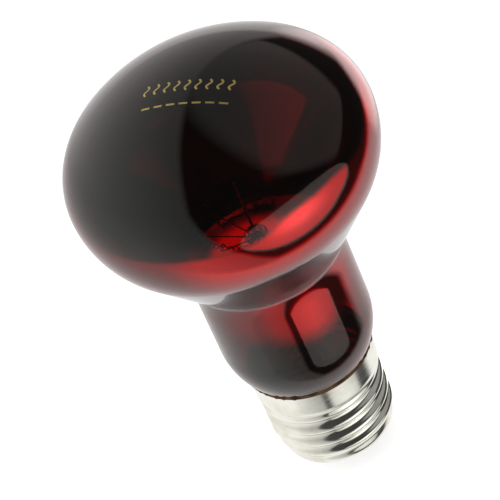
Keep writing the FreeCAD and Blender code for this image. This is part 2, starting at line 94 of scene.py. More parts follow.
class BulbSettings(bpy.types.PropertyGroup):
    """Sizes and colours of the glass bulb and of the mirror film inside it."""
    head_diameter: length("Head diameter", "Widest diameter of the glass", (GLASS_HIGH.x - GLASS_LOW.x) / MM)
    neck_diameter: length("Neck diameter", "Diameter of the straight neck", 32.4)
    seat_diameter: length("Seat diameter", "Diameter of the glass inside the cap", 24.8)
    wall: length("Glass wall", "Thickness of the blown glass", 0.8)
    seat_length: length("Seat length", "Length of glass inside the cap", 4.2)
    seat_end: length("Seat end", "Height of the open end of the glass", GLASS_LOW.z / MM)
    dome_top: length("Dome top", "Height of the crown of the dome", GLASS_HIGH.z / MM)
    waist_height: length("Waist height", "Height of the crease between the neck and the cone", 55.0)
    widest_height: length("Widest height", "Height of the widest level", 82.5)
    corner_radius: length("Corner radius", "Round between the back and the dome", 13.0)
    waist_radius: length("Waist radius", "Hollow round between the neck and the cone", 3.0)
    flare_radius: length("Flare radius", "Round over which the neck opens under the waist", 28.35)
    root_radius: length("Root radius", "Hollow round where the foot leaves the seat", 0.798)
    foot_radius: length("Foot radius", "Round of the glass foot above the cap", 1.596)
    flare_angle: angle("Flare angle", "Spread of the neck where it meets the waist", 7.5)
    cone_angle: angle("Cone angle", "Spread of the conical back from the axis", 36)
    shoulder_angle: angle("Shoulder angle", "Spread where the shoulder starts", 29.5)
    foot_angle: angle("Foot angle", "Spread of the glass where it leaves the seat", 75)
    film_gap: length("Film gap", "Gap between the glass and the mirror film", 0.06)
    film_thickness: length("Film thickness", "Thickness of the film's liner", 0.12)
    film_low: length("Film low end", "Mean height where the film thins away in the neck", 44.75)
    film_low_wave: length("Film low wave", "How far that end swings up and down round the neck", 1.25)
    film_low_lift: length("Film low lift", "How much higher that end lies at the far side of the neck", 6.0)
    film_low_fade: length("Film low fade", "Length over which the film thins away", 8.0)
    film_front: length("Film front", "Height of the film's front edge on the near side", 83.6)
    film_front_lift: length("Film front lift", "How much higher that edge lies at the far side", 7.6)
    film_tongue: length("Film tongue", "How far a tongue of film reaches past the near edge", 2.3)
    film_front_fade: length("Film front fade", "Width of the front edge's soft margin", 1.8)
    columns: IntProperty(name="Columns", description="Columns of faces round the bulb", default=224, min=24)
    glass_colour: colour("Ruby glass", "Light that the glass lets through", "#F8204D")
    glass_depth: FloatProperty(
        name="Ruby depth", description="Absorption of the glass per metre", default=3800)
    # Dark end of the glass's colour: where it is seen at a slant, and as painted shade on the far side from
    # the lamp.
    glass_slant_and_shade_colour: colour("Ruby glass, thick", "What is left of it on a long way through", "#200405")
    glass_shine_colour: colour("Glass shine", "Tone of the reflections that face the eye", "#DFFFF8")
    film_colour: colour("Mirror film", "Colour of the mirror against the glass", "#F1F1EF")
    # The film's inner face is darkened as painted shade, so that the inside of the bulb looks dark.
    film_back_shade_colour: colour("Film's inner face", "Colour of the face towards the filament", "#77736F")


class CapSettings(bpy.types.PropertyGroup):
    """Sizes and colours of the screw cap and of what closes its two ends."""
    height: length("Cap height", "Height of the shell's rim above the tip", SHELL_TOP / MM)
    skirt_diameter: length("Skirt diameter", "Diameter of the smooth skirt", 26.7)
    skirt_height: length("Skirt height", "Height of the smooth skirt", 4.6)
    wall: length("Shell wall", "Thickness of the rolled sheet", 0.3)
    thread_diameter: length("Thread diameter", "Diameter over the thread's crests", 26.3)
    thread_depth: length("Thread depth", "Depth from crest to root", 1.05)
    thread_pitch: length("Thread pitch", "Rise of the thread in one turn", 3.629)
    thread_bottom: length("Thread bottom", "Height where the thread starts", 6.0)
    thread_fade: length("Thread fade", "Length over which the thread runs out under the skirt", 1.9)
    thread_start: angle("Thread start", "Angle of the thread's start about the axis", 200)
    step_angle: angle("Step angle", "Slope of the step between thread and skirt", 40)
    lip_radius: length("Lip radius", "Round of the shell's lower edge", 2.6)
    lip_angle: angle("Lip angle", "Turn of that round", 70)
    columns: IntProperty(name="Columns", description="Columns of faces round the shell", default=256, min=24)
    nickel_colour: colour("Nickel", "Colour of the nickel plating", "#F0EFE4")
    nickel_dull_colour: colour("Nickel, dull", "Colour of handled plating", "#DEDBCC")
    cement_colour: colour("Cement", "Colour of the baked capping cement", "#7A5028")
    cement_dark_colour: colour("Cement, scorched", "Darker places of the cement", "#3A2213")


class TipSettings(bpy.types.PropertyGroup):
    """Sizes and colours of the insulator, the contact and the solder."""
    contact_diameter: length("Contact diameter", "Diameter of the centre contact", 10.0)
    contact_thickness: length("Contact thickness", "Thickness of the contact plate", 0.6)
    contact_round: length("Contact round", "Round of the plate's lower edge", 0.2)
    eyelet_diameter: length("Eyelet", "Hole in the middle of the plate", 1.2)
    solder_height: length("Solder height", "Height of the solder at the tip", 1.1)
    solder_diameter: length("Solder diameter", "Diameter of the solder on the plate", 6.8)
    solder_flat: length("Solder flat", "Flat worn on the tip of the solder", 3.6)
    insulator_top: length("Insulator top", "Height of the black glass inside the shell", 8.2)
    insulator_floor: length("Insulator floor", "Height of the floor of its well", 4.6)
    insulator_bore: length("Insulator bore", "Hole for the fuse wire", 2.4)
    insulator_well: length("Insulator well", "Diameter of the well inside", 7.0)
    insulator_gap: length("Insulator gap", "Gap between the black glass and the shell", 0.06)
    insulator_margin: length("Insulator margin", "Land round the contact and inside the top", 0.3)
    rib_height: length("Rib height", "Height of the moulded rings on the black glass", 0.16)
    black_colour: colour("Black glass", "Colour of the moulded glass", "#17161A")
    brass_colour: colour("Brass", "Colour of the stamped contact", "#C9A55C")
    solder_colour: colour("Solder", "Colour of the tin solder", "#B9B9BA")


class MountSettings(bpy.types.PropertyGroup):
    """Colours of the pieces inside the bulb."""
    clear_colour: colour("Clear glass", "Light that the stem's glass lets through", "#EEF5F1")
    wire_colour: colour("Nickel wire", "Colour of the drawn lead wires", "#B4B0A6")
    copper_colour: colour("Copper wire", "Colour of the drawn copper", "#C07A52")
    tungsten_colour: colour("Tungsten", "Colour of the wound filament", "#55565A")
    molybdenum_colour: colour("Molybdenum", "Colour of the support wires", "#8B8C91")


class MarkSettings(bpy.types.PropertyGroup):
    """Sizes and colour of the gold strokes on the dome."""
    centre: FloatVectorProperty(
        name="Centre", description="Place of the mark, across the axis", size=2, unit="LENGTH",
        default=(-1.55 * MM, -4.75 * MM))
    heading: angle("Heading", "Turn of the rows about the axis", -29.1)
    width: length("Width", "Length of a row", 18.4)
    row_gap: length("Row gap", "Distance between the two rows", 4.5)
    wave_height: length("Wave height", "Height of the wavy strokes", 2.5)
    stroke: length("Stroke", "Width of a stroke", 0.42)
    thickness: length("Thickness", "Height of the baked ink", 0.025)
    gold_colour: colour("Gold ink", "Colour of the baked gold", "#D9BC74")


class StageSettings(bpy.types.PropertyGroup):
    """The camera's place, the levels of the light and the floor."""
    aim: FloatVectorProperty(
        name="Aim", description="Point that the camera looks at", size=3, unit="LENGTH",
        default=(-2.39 * MM, 0.0, 57.09 * MM))
    distance: length("Distance", "Distance of the camera from its aim", 567.19)
    elevation: angle("Elevation", "Height angle of the camera", 40.01)
    roll: angle("Roll", "Turn of the camera about its view", 24.07)
    lens: FloatProperty(name="Lens", description="Focal length in millimetres", default=206.3, unit="CAMERA")
    lamp_distance: length("Lamp distance", "Distance of the oval soft lamp", 1200)
    lamp_spread: angle("Lamp spread", "Half angle under which the object sees the lamp's width", 42.0)
    lamp_rise: angle("Lamp rise", "Half angle under which the object sees the lamp's height", 33.0)
    lamp_level: number("Lamp level", "Radiance of the oval soft lamp", 0.66)
    core_level: number("Core level", "Radiance that the lamp's middle adds", 1.2)
    core_power: FloatProperty(
        name="Core power", description="How fast that falls off: the power of the cosine", default=18, min=0)
    back_level: number("Back level", "Radiance of the soft panel behind on the right", 2.2)
    ceiling_level: number("Ceiling level", "Radiance of the dim ceiling", 0.32)
    room_level: number("Room level", "Radiance of the rest of the room", 0.05)
    floor_size: length("Floor size", "Side of the floor", 12000)
    floor_colour: colour("Floor", "Colour of the plain floor", "#F4F4F2")
    floor_lift: number("Floor lift", "Brightness that the camera sees on top of the floor's own", 0.8)


def bulb_runs(bulb):
    """Tangent runs of the glass from its open end to the crown, as (length, 0) or (radius, turn).

    A positive turn leads away from the axis. Tangency gives the lengths and radii that aren't settings.
    """
    neck, head = bulb.neck_diameter / 2, bulb.head_diameter / 2
    cone, shoulder, foot = bulb.cone_angle, bulb.shoulder_angle, bulb.foot_angle
    drop = neck - bulb.seat_diameter / 2
    spread = bulb.foot_radius * (math.cos(shoulder) - math.cos(foot))
    spread = spread + bulb.root_radius * (1 - math.cos(foot))
    shoulder_radius = (drop - spread) / (1 - math.cos(shoulder))
    rise = bulb.root_radius * math.sin(foot) + shoulder_radius * math.sin(shoulder)
    rise = rise + bulb.foot_radius * (math.sin(foot) - math.sin(shoulder))
    flare, slack = bulb.flare_angle, 1 - math.cos(cone)
    flare_start = bulb.waist_height - bulb.flare_radius * math.sin(flare)
    straight = flare_start - bulb.seat_end - bulb.seat_length - rise
    out = head - neck - bulb.flare_radius * (1 - math.cos(flare))
    out = out - bulb.waist_radius * (math.cos(flare) - math.cos(cone))
    climb = bulb.widest_height - bulb.waist_height - bulb.waist_radius * (math.sin(cone) - math.sin(flare))
    back = (climb * math.sin(cone) - out * math.cos(cone)) / slack
    slope = (out * math.sin(cone) - climb * slack) / slack
    inward, dome = head - bulb.corner_radius, bulb.dome_top - bulb.widest_height
    crown = (inward ** 2 + dome ** 2 - bulb.corner_radius ** 2) / (2 * (dome - bulb.corner_radius))
    corner = math.pi / 2 - math.asin(inward / (crown - bulb.corner_radius))
    return {
        "seat": (bulb.seat_length, 0),
        "root": (bulb.root_radius, foot),
        "foot": (bulb.foot_radius, shoulder - foot),
        "shoulder": (shoulder_radius, -shoulder),
        "neck": (straight, 0),
        "flare": (bulb.flare_radius, flare),
        "waist": (bulb.waist_radius, cone - flare),
        "cone": (slope, 0),
        "back": (back, -cone),
        "corner": (bulb.corner_radius, -corner),
        "crown": (crown, corner - math.pi / 2),
    }


def outline(start, heading, runs, inset=0.0, step=0.5 * MM, finest=math.radians(2.5)):
    """Radius and height along tangent runs, moved inwards by inset, as an array of points.

    On a line a point is start + distance * (sin h, cos h) with the heading h from the upward axis. On an
    arc it is centre - side * radius * (cos a, -sin a), where a goes from the heading to heading + turn.
    """
    place = np.array(start) + inset * np.array([-math.cos(heading), math.sin(heading)])
    parts = [place[None, :]]
    for size, turn in runs:
        side = math.copysign(1, turn)
        bend = size + side * inset
        reach = size if turn == 0 else abs(bend * turn)
        count = max(2, math.ceil(reach / step), math.ceil(abs(turn) / finest))
        share = np.linspace(0, 1, count + 1)[1:, None]
        if turn == 0:
            run = place + share * size * np.array([[math.sin(heading), math.cos(heading)]])
        else:
            centre = place + side * bend * np.array([math.cos(heading), -math.sin(heading)])
            angles = heading + turn * share
            run = centre - side * bend * np.hstack([np.cos(angles), -np.sin(angles)])
        heading = heading + turn
        place = run[-1]
        parts.append(run)
    return np.vstack(parts)


def rounded(first, last, count=8):
    """Half circle between two points of radius and height: middle + half * cos a + out * sin a."""
    middle, half = (first + last) / 2, (first - last) / 2
    out = np.array([-half[1], half[0]])
    angles = np.linspace(0, math.pi, count + 1)[1:-1, None]
    return middle + half * np.cos(angles) + out * np.sin(angles)


def polyline(corners, counts):
    """Points along straight runs between corners, evenly spaced, with counts steps on each run."""
    corners = np.array(corners)
    parts = [corners[:1]]
    for first, last, count in zip(corners[:-1], corners[1:], counts):
        parts.append(first + (last - first) * np.linspace(0, 1, count + 1)[1:, None])
    return np.vstack(parts)


def smooth_step(value):
    """Smooth rise from 0 to 1 as a value v goes from 0 to 1: three v squared less two v cubed."""
    held = np.clip(value, 0, 1)
    return held * held * (3 - 2 * held)


def around(columns):
    """Angles about the axis, one for each column of faces."""
    return np.arange(columns) * TURN / columns


def on_rings(radius, height, angles):
    """Points (r cos a, r sin a, z) about the axis, for radius r, height z and each angle a."""
    return np.stack([radius * np.cos(angles), radius * np.sin(angles), height + 0 * angles], axis=-1)


def turned(profile, columns):
    """Profile of radius and height turned about the axis: a ring of points for each of its rows."""
    return on_rings(profile[:, :1], profile[:, 1:], around(columns))


def ring_faces(rows, columns, joined=False):
    """Quads of a grid that closes round its columns, and round its rows where joined."""
    upper = np.arange(rows if joined else rows - 1)[:, None]
    row, above = upper * columns, (upper + 1) % rows * columns
    column = np.arange(columns)[None, :]
    onward = (column + 1) % columns
    corners = [row + column, row + onward, above + onward, above + column]
    return np.stack(corners, axis=-1).reshape(-1, 4)


def fan_faces(ring, pole, flipped):
    """Triangles that close a ring of vertices to a pole."""
    onward = np.roll(ring, -1)
    order = [onward, ring] if flipped else [ring, onward]
    return np.stack(order + [np.full_like(ring, pole)], axis=-1)


def make_mesh(name, points, quads, triangles):
    """Object at the origin from arrays of points, quads and triangles, smooth except at sharp edges."""
    mesh = bpy.data.meshes.new(name)
    corners = np.concatenate([quads.ravel(), triangles.ravel()]).astype(np.int32)
    sizes = np.concatenate([np.full(len(quads), 4), np.full(len(triangles), 3)])
    mesh.vertices.add(len(points))
    mesh.vertices.foreach_set("co", points.astype(np.float32).ravel())
    mesh.loops.add(len(corners))
    mesh.loops.foreach_set("vertex_index", corners)
    mesh.polygons.add(len(sizes))
    mesh.polygons.foreach_set("loop_start", np.concatenate([[0], np.cumsum(sizes)[:-1]]).astype(np.int32))
    mesh.update(calc_edges=True)
    if mesh.validate():
        raise RuntimeError(name + " has faulty faces")
    mesh.shade_smooth()
    mesh.set_sharp_from_angle(angle=SHARP)
    piece = bpy.data.objects.new(name, mesh)
    bpy.context.scene.collection.objects.link(piece)
    return piece


def make_skin(name, grid, joined=False, poles=False):
    """Closed skin over a grid of points that runs round the axis, as one object.

    Rows that go up on the outside and down on the inside face outwards. With poles, the first and the last
    row are single points on the axis.
    """
    rows, columns = grid.shape[:2]
    if not poles:
        faces = ring_faces(rows, columns, joined)
        return make_mesh(name, grid.reshape(-1, 3), faces, np.zeros((0, 3), int))
    points = np.vstack([grid[1:-1].reshape(-1, 3), grid[:1, 0], grid[-1:, 0]])
    inner = rows - 2
    low = np.arange(columns)
    high = low + (inner - 1) * columns
    bottom, top = inner * columns, inner * columns + 1
    triangles = np.vstack([fan_faces(low, bottom, True), fan_faces(high, top, False)])
    return make_mesh(name, points, ring_faces(inner, columns), triangles)


def connect(tree, node, inputs):
    """Sets a node's inputs to values, and links those whose value is another node's output."""
    for key, value in inputs.items():
        if isinstance(value, bpy.types.NodeSocket):
            tree.links.new(value, node.inputs[key])
        else:
            node.inputs[key].default_value = value


def add_node(tree, kind, output, inputs, **settings):
    """Adds a node with its settings and inputs, and gives back one of its outputs."""
    node = tree.nodes.new("ShaderNode" + kind)
    for key, value in settings.items():
        setattr(node, key, value)
    connect(tree, node, inputs)
    return node.outputs[output]


def per_metre(millimetres):
    """Scale of a texture whose pattern repeats over a real size in millimetres."""
    return 1 / (millimetres * MM)


def rgba(colour_value):
    """Colour with its opacity, as a node's socket takes it."""
    return (*colour_value[:3], 1.0)


def new_material(name):
    """Empty material with one shader: gives the material, its tree, the shader and Object coordinates."""
    material = bpy.data.materials.new(name)
    material.use_nodes = True
    tree = material.node_tree
    tree.nodes.clear()
    shader = tree.nodes.new("ShaderNodeBsdfPrincipled")
    tree.links.new(shader.outputs["BSDF"], tree.nodes.new("ShaderNodeOutputMaterial").inputs["Surface"])
    return material, tree, shader, add_node(tree, "TexCoord", "Object", {})


def patches(tree, pattern, band, first, second):
    """Colour that goes from the first tone to the second as a pattern crosses a band of values."""
    share = add_node(tree, "MapRange", "Result", {
        "Value": pattern, "From Min": band[0], "From Max": band[1]}, interpolation_type="SMOOTHSTEP")
    return add_node(tree, "Mix", "Result", {
        "Factor": share, "A": rgba(first), "B": rgba(second)}, data_type="RGBA")


def work(tree, shader, pattern, gloss, depth):
    """Lets a pattern move the roughness between two values and raise a relief of a depth in millimetres."""
    rough = add_node(tree, "MapRange", "Result", {
        "Value": pattern, "From Min": 0.25, "From Max": 0.75, "To Min": gloss[0], "To Max": gloss[1]})
    normal = add_node(tree, "Bump", "Normal", {"Height": pattern, "Strength": 1.0, "Distance": depth * MM})
    connect(tree, shader, {"Roughness": rough, "Normal": normal})


def ruby_glass(bulb):
    # Blown selenium ruby soda-lime glass. Clear, slightly cool reflections lie on a deep red that comes from
    # the depth of the wall. It goes nearly black where it is seen at a slant. Its colour also holds painted
    # light
    # and shade: clearer on the side towards the lamp and darker on the far side. It is darker towards the
    # foot of the neck, and the long waves from blowing bend the edges of the reflections a little.
    material, tree, shader, place = new_material("ruby_soda_lime_glass_blown")
    slant = add_node(tree, "LayerWeight", "Facing", {"Blend": 0.5})
    passed = add_node(tree, "MapRange", "Result", {
        "Value": slant, "From Min": 0.2, "From Max": 1.0, "To Min": 1.0, "To Max": 0.0})
    # Painted light and shade: the "thin" share is near 1 on the side towards the lamp and low on the far
    # side. It also falls towards the foot of the neck.
    thin = add_node(tree, "Attribute", "Fac", {}, attribute_name="thin")
    clear = add_node(tree, "Math", "Value", {0: passed, 1: thin}, operation="MULTIPLY")
    waves = add_node(tree, "TexNoise", "Fac", {"Vector": place, "Scale": per_metre(22), "Detail": 1.0})
    relief = add_node(tree, "Bump", "Normal", {"Height": waves, "Strength": 1.0, "Distance": 0.012 * MM})
    connect(tree, shader, {
        "Base Color": patches(tree, clear, (0.0, 1.0), bulb.glass_slant_and_shade_colour, (1.0, 1.0, 1.0)),
        "Specular Tint": rgba(bulb.glass_shine_colour), "Transmission Weight": 1.0, "IOR": 1.51,
        "Roughness": 0.0, "Normal": relief})
    depth = add_node(tree, "VolumeAbsorption", "Volume", {
        "Color": rgba(bulb.glass_colour), "Density": bulb.glass_depth})
    tree.links.new(depth, tree.nodes["Material Output"].inputs["Volume"])
    return material


def film_cover(tree, place):
    """Opacity of the film: the piece's own cover with a fine grain, so that its ends thin out unevenly."""
    cover = add_node(tree, "Attribute", "Fac", {}, attribute_name="cover")
    grain = add_node(tree, "TexNoise", "Fac", {"Vector": place, "Scale": per_metre(1.6), "Detail": 4.0})
    uneven = 0.3
    stir = add_node(tree, "Math", "Value", {0: grain, 1: uneven, 2: -uneven / 2}, operation="MULTIPLY_ADD")
    share = add_node(tree, "Math", "Value", {0: cover, 1: stir}, operation="ADD")
    return add_node(tree, "MapRange", "Result", {"Value": share, "From Min": 0.1, "From Max": 0.9})


def film_mirror(bulb):
    # Aluminium vapour-deposited on the glass, seen through the wall. A bright mirror, a little hazy in
    # patches, that thins away in the neck and has a soft front edge.
    material, tree, shader, place = new_material("aluminium_film_vapour_deposited")
    haze = add_node(tree, "TexNoise", "Fac", {"Vector": place, "Scale": per_metre(12), "Detail": 4.0})
    work(tree, shader, haze, (0.02, 0.06), 0.01)
    connect(tree, shader, {
        "Base Color": rgba(bulb.film_colour), "Metallic": 1.0, "Alpha": film_cover(tree, place)})
    return material


def film_back(bulb):
    # The same film from the filament's side, made a dark mirror with faint clouds: painted shade that keeps
    # the inside of the bulb dark.
    material, tree, shader, place = new_material("aluminium_film_back_painted_shade")
    clouds = add_node(tree, "TexNoise", "Fac", {"Vector": place, "Scale": per_metre(9), "Detail": 4.0})
    work(tree, shader, clouds, (0.05, 0.12), 0.01)
    connect(tree, shader, {
        "Base Color": patches(tree, clouds, (0.4, 0.7), bulb.film_back_shade_colour, linear("#615D59")),
        "Metallic": 1.0, "Alpha": film_cover(tree, place)})
    return material


def nickel_plate(cap):
    # Nickel-plated brass sheet, drawn and thread-rolled. Bright with a warm tone, softer where hands have
    # dulled it, with fine lines round the axis from the rolls, drawn coarser than real so that they show.
    material, tree, shader, place = new_material("nickel_plated_brass_rolled")
    handled = add_node(tree, "TexNoise", "Fac", {"Vector": place, "Scale": per_metre(6), "Detail": 4.0})
    along = add_node(tree, "Mapping", "Vector", {"Vector": place, "Scale": (0.06, 0.06, 1.0)})
    rolled = add_node(tree, "TexNoise", "Fac", {"Vector": along, "Scale": per_metre(0.35), "Detail": 4.0})
    work(tree, shader, rolled, (0.09, 0.2), 0.006)
    tone = patches(tree, handled, (0.42, 0.78), cap.nickel_colour, cap.nickel_dull_colour)
    connect(tree, shader, {"Base Color": tone, "Metallic": 1.0})
    return material


def capping_cement(cap):
    # Baked resin and marble cement. Matt ochre with scorched places and a fine grit.
    material, tree, shader, place = new_material("capping_cement_baked")
    scorch = add_node(tree, "TexNoise", "Fac", {
        "Vector": place, "Scale": per_metre(2.2), "Detail": 5.0, "Roughness": 0.6})
    grit = add_node(tree, "TexNoise", "Fac", {
        "Vector": place, "Scale": per_metre(0.3), "Detail": 3.0, "Roughness": 0.7})
    work(tree, shader, grit, (0.65, 0.95), 0.06)
    connect(tree, shader, {
        "Base Color": patches(tree, scorch, (0.38, 0.7), cap.cement_colour, cap.cement_dark_colour)})
    return material


def black_glass(tip):
    # Moulded black cap glass. Glossy with shallow waves from the mould and a few grey specks.
    material, tree, shader, place = new_material("black_glass_moulded")
    specks = add_node(tree, "TexNoise", "Fac", {"Vector": place, "Scale": per_metre(0.8), "Detail": 4.0})
    waves = add_node(tree, "TexNoise", "Fac", {"Vector": place, "Scale": per_metre(2.5), "Detail": 3.0})
    work(tree, shader, waves, (0.08, 0.25), 0.05)
    connect(tree, shader, {
        "Base Color": patches(tree, specks, (0.6, 0.75), tip.black_colour, linear("#2E2C30")), "IOR": 1.55})
    return material


def stamped_brass(tip):
    # Stamped brass sheet. Yellow metal with brownish handling marks and fine scratches from the press.
    material, tree, shader, place = new_material("brass_sheet_stamped")
    handled = add_node(tree, "TexNoise", "Fac", {"Vector": place, "Scale": per_metre(2.0), "Detail": 5.0})
    along = add_node(tree, "Mapping", "Vector", {"Vector": place, "Scale": (1.0, 0.08, 1.0)})
    scratches = add_node(tree, "TexNoise", "Fac", {"Vector": along, "Scale": per_metre(0.25), "Detail": 3.0})
    work(tree, shader, scratches, (0.22, 0.42), 0.01)
    tone = patches(tree, handled, (0.45, 0.8), tip.brass_colour, linear("#8E6C35"))
    connect(tree, shader, {"Base Color": tone, "Metallic": 1.0})
    return material


def tin_solder(tip):
    # Tin solder that set from a drop. Grey and satin, with a crazed skin of small crystals.
    material, tree, shader, place = new_material("tin_solder_dropped")
    dull = add_node(tree, "TexNoise", "Fac", {"Vector": place, "Scale": per_metre(1.2), "Detail": 4.0})
    crystals = add_node(tree, "TexVoronoi", "Distance", {"Vector": place, "Scale": per_metre(0.5)})
    work(tree, shader, crystals, (0.26, 0.45), 0.02)
    tone = patches(tree, dull, (0.4, 0.75), tip.solder_colour, linear("#8F8F92"))
    connect(tree, shader, {"Base Color": tone, "Metallic": 1.0})
    return material


def clear_glass(mount):
    # Drawn lead-free stem glass. Clear with a faint green tone and lengthwise waves from drawing.
    material, tree, shader, place = new_material("clear_stem_glass_drawn")
    along = add_node(tree, "Mapping", "Vector", {"Vector": place, "Scale": (1.0, 1.0, 0.12)})
    drawn = add_node(tree, "TexNoise", "Fac", {"Vector": along, "Scale": per_metre(2.0), "Detail": 2.0})
    work(tree, shader, drawn, (0.0, 0.03), 0.03)
    connect(tree, shader, {"Base Color": rgba(mount.clear_colour), "Transmission Weight": 1.0, "IOR": 1.52})
    return material


def drawn_wire(name, tone, dull, gloss, millimetres):
    """Material of a drawn metal wire, whose tone and gloss change in patches of a size in millimetres."""
    material, tree, shader, place = new_material(name)
    marks = add_node(tree, "TexNoise", "Fac", {
        "Vector": place, "Scale": per_metre(millimetres), "Detail": 4.0})
    work(tree, shader, marks, gloss, 0.01)
    connect(tree, shader, {"Base Color": patches(tree, marks, (0.4, 0.75), tone, dull), "Metallic": 1.0})
    return material


def gold_ink(mark):
    # Baked gold ceramic ink. Warm metal with a dry grain and pin-sized darker places.
    material, tree, shader, place = new_material("gold_ink_baked")
    grain = add_node(tree, "TexNoise", "Fac", {"Vector": place, "Scale": per_metre(0.3), "Detail": 3.0})
    work(tree, shader, grain, (0.3, 0.5), 0.012)
    tone = patches(tree, grain, (0.5, 0.8), mark.gold_colour, linear("#8F7038"))
    connect(tree, shader, {"Base Color": tone, "Metallic": 0.85})
    return material


def dress(piece, material, slot, *nodes):
    """Gives a new piece its material, hangs it on the root body and hides the nodes that it stands for."""
    piece.data.materials.append(material)
    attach(piece, "root")
    if nodes:
        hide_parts(*nodes)


def repaint(nodes, material):
    """Gives carried-over nodes a material through their own slots."""
    for name in nodes:
        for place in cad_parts[name].material_slots:
            place.material = material


class LAMP_OT_glass_bulb(bpy.types.Operator):
    """Blow the ruby glass bulb: one wall from the crown inside, round the open end, to the crown outside"""
    bl_idname = "lamp.glass_bulb"
    bl_label = "Glass bulb"

    row_step: length("Row step", "Distance between the rows of faces along the wall", 0.7)
    # Painted light and shade: the glass is clearer on the lit side, towards the lamp, and darker on the far
    # side.
    lit_side: angle("Thin side", "Direction about the axis where the blown wall is thinnest", -30)
    shade_share: number("Thick share", "Share of the thin side's light that the thick side passes", 0.58)
    dome_shade_share: number("Dome share", "The same for the thick side of the dome", 0.44)
    foot_share: number("Foot share", "Light that the foot of the neck passes, as a share of the cone's", 0.45)
    head_rise: length("Head rise", "Length above the waist over which the neck's edge becomes the head's", 10)
    dome_start: length("Dome start", "Height above the widest level where the dome's edge sets in", 2)
    dome_rise: length("Dome rise", "Length over which it sets in", 5)

    # Where the painted shade of the far side gives way to the lit side across the neck, the head and the
    # dome, and over what width. All are shares of the radius, counted from the axis towards the lit side.
    neck_edge = 0.02
    head_edge = -0.17
    dome_edge = 0.2
    edge_width = 0.45
    # Stands in for the radius on the axis, where it is zero.
    least_radius = 0.001 * MM

    def lit_share(self, bulb, grid):
        """Share of the light that the wall passes, as the product of two smooth steps up to 1.

        The first is painted light and shade across the bulb, from the far side to the lamp's, and the second
        goes up the neck.
        """
        height = grid[..., 2]
        across = grid[..., 0] * math.cos(self.lit_side) + grid[..., 1] * math.sin(self.lit_side)
        radius = np.maximum(np.hypot(grid[..., 0], grid[..., 1]), self.least_radius)
        reach = np.where(height > bulb.widest_height, bulb.head_diameter / 2, radius)
        head = smooth_step((height - bulb.waist_height) / self.head_rise)
        dome = smooth_step((height - bulb.widest_height - self.dome_start) / self.dome_rise)
        edge = self.neck_edge + (self.head_edge - self.neck_edge) * head
        edge = edge + (self.dome_edge - self.head_edge) * dome
        thick = self.shade_share + (self.dome_shade_share - self.shade_share) * dome
        side = thick + (1 - thick) * smooth_step((across / reach - edge) / self.edge_width)
        foot = bulb.seat_end + bulb.seat_length
        up = smooth_step((height - foot) / (bulb.waist_height - foot))
        return side * (self.foot_share + (1 - self.foot_share) * up)

    def execute(self, context):
        bulb = context.scene.lamp_bulb
        runs = list(bulb_runs(bulb).values())
        start = (bulb.seat_diameter / 2, bulb.seat_end + bulb.wall / 2)
        runs[0] = (runs[0][0] - bulb.wall / 2, 0)
        outer = outline(start, 0, runs, 0.0, self.row_step)
        inner = outline(start, 0, runs, bulb.wall, self.row_step)[::-1]
        outer[-1, 0] = inner[0, 0] = 0
        profile = np.vstack([inner, rounded(inner[-1], outer[0]), outer])
        grid = turned(profile, bulb.columns)
        piece = make_skin("glass_bulb", grid, poles=True)
        # Painted light and shade, kept on the points as "thin" for the glass's colour.
        share = self.lit_share(bulb, grid)
        thin = piece.data.attributes.new("thin", "FLOAT", "POINT")
        thin.data.foreach_set("value", np.concatenate(
            [share[1:-1].ravel(), share[:1, 0], share[-1:, 0]]).astype(np.float32))
        dress(piece, ruby_glass(bulb), "red_glass", "glass_envelope")
        return {"FINISHED"}


